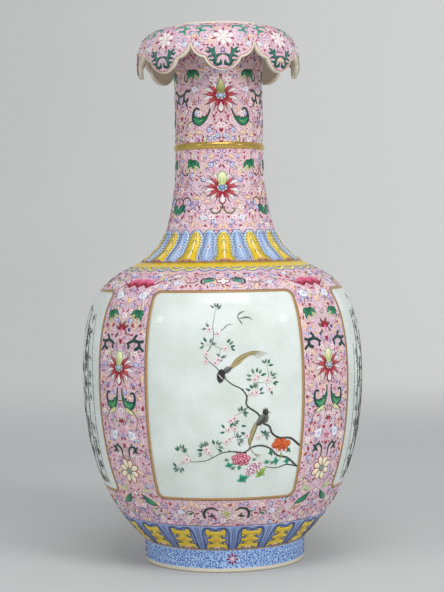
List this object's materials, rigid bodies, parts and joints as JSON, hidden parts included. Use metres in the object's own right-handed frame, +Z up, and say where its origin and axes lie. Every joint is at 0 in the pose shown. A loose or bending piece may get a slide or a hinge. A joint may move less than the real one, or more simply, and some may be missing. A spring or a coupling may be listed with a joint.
{
  "type": "porcelain bottle vase",
  "caption": "Tall porcelain vase with an ovoid body on an upright foot ring, a slender ribbed neck and a turned-down petal collar round its mouth; holds stems or stands as an ornament.",
  "frame": {"origin": "centre of the foot ring's underside, where the vase stands", "axes": "+Z up along the vase's axis; -Y is the front, where the main panel faces and one petal of the collar nearly faces"},
  "size_m": [0.2104, 0.2104, 0.4],
  "materials": {
    "pink_enamel": "gloss",
    "blue_enamel": "gloss",
    "white_glaze": "gloss",
    "cream_rim": "gloss",
    "gilding": "satin"
  },
  "bodies": {
    "root": {"foot_ring": "blue_enamel", "base_slab": "white_glaze", "lower_body": "pink_enamel", "belly_luting_bead": "white_glaze", "upper_body": "pink_enamel", "shoulder_luting_bead": "white_glaze", "neck_flare": "pink_enamel", "lower_neck": "pink_enamel", "neck_rib": "gilding", "upper_neck": "pink_enamel", "mouth_cup": "white_glaze", "lip_ring": "cream_rim", "petal_collar": "pink_enamel"}
  },
  "joints": []
}
